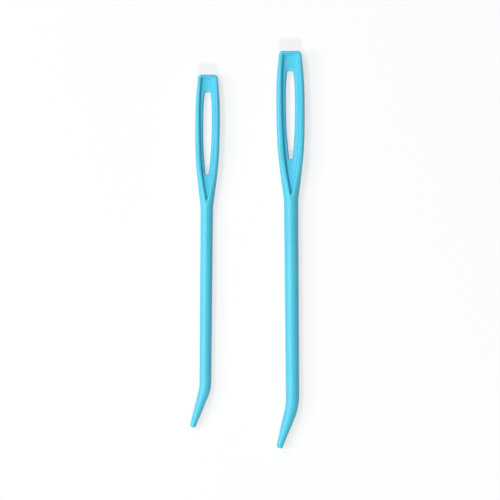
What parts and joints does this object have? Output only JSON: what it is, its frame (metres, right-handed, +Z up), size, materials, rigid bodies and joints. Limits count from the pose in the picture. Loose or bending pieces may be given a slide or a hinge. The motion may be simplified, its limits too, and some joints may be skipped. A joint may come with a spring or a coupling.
{
  "type": "bent-tip yarn needle set",
  "caption": "Plastic yarn needles, a larger and a smaller, each with a leaf-shaped head, long eye, sunken web, round shaft and blunt bent tip.",
  "frame": {"origin": "on the surface the needles lie on, under the middle of the box that holds both", "axes": "+Z up, +Y along the needles towards their heads, +X from the small needle to the large one; the tips bend towards -X"},
  "size_m": [0.0404, 0.1402, 0.005],
  "materials": {
    "needle_plastic": "cyan blue polypropylene, solid colour, satin-gloss as moulded"
  },
  "bodies": {
    "root": {"large_needle": "needle_plastic", "small_needle": "needle_plastic"}
  },
  "joints": []
}
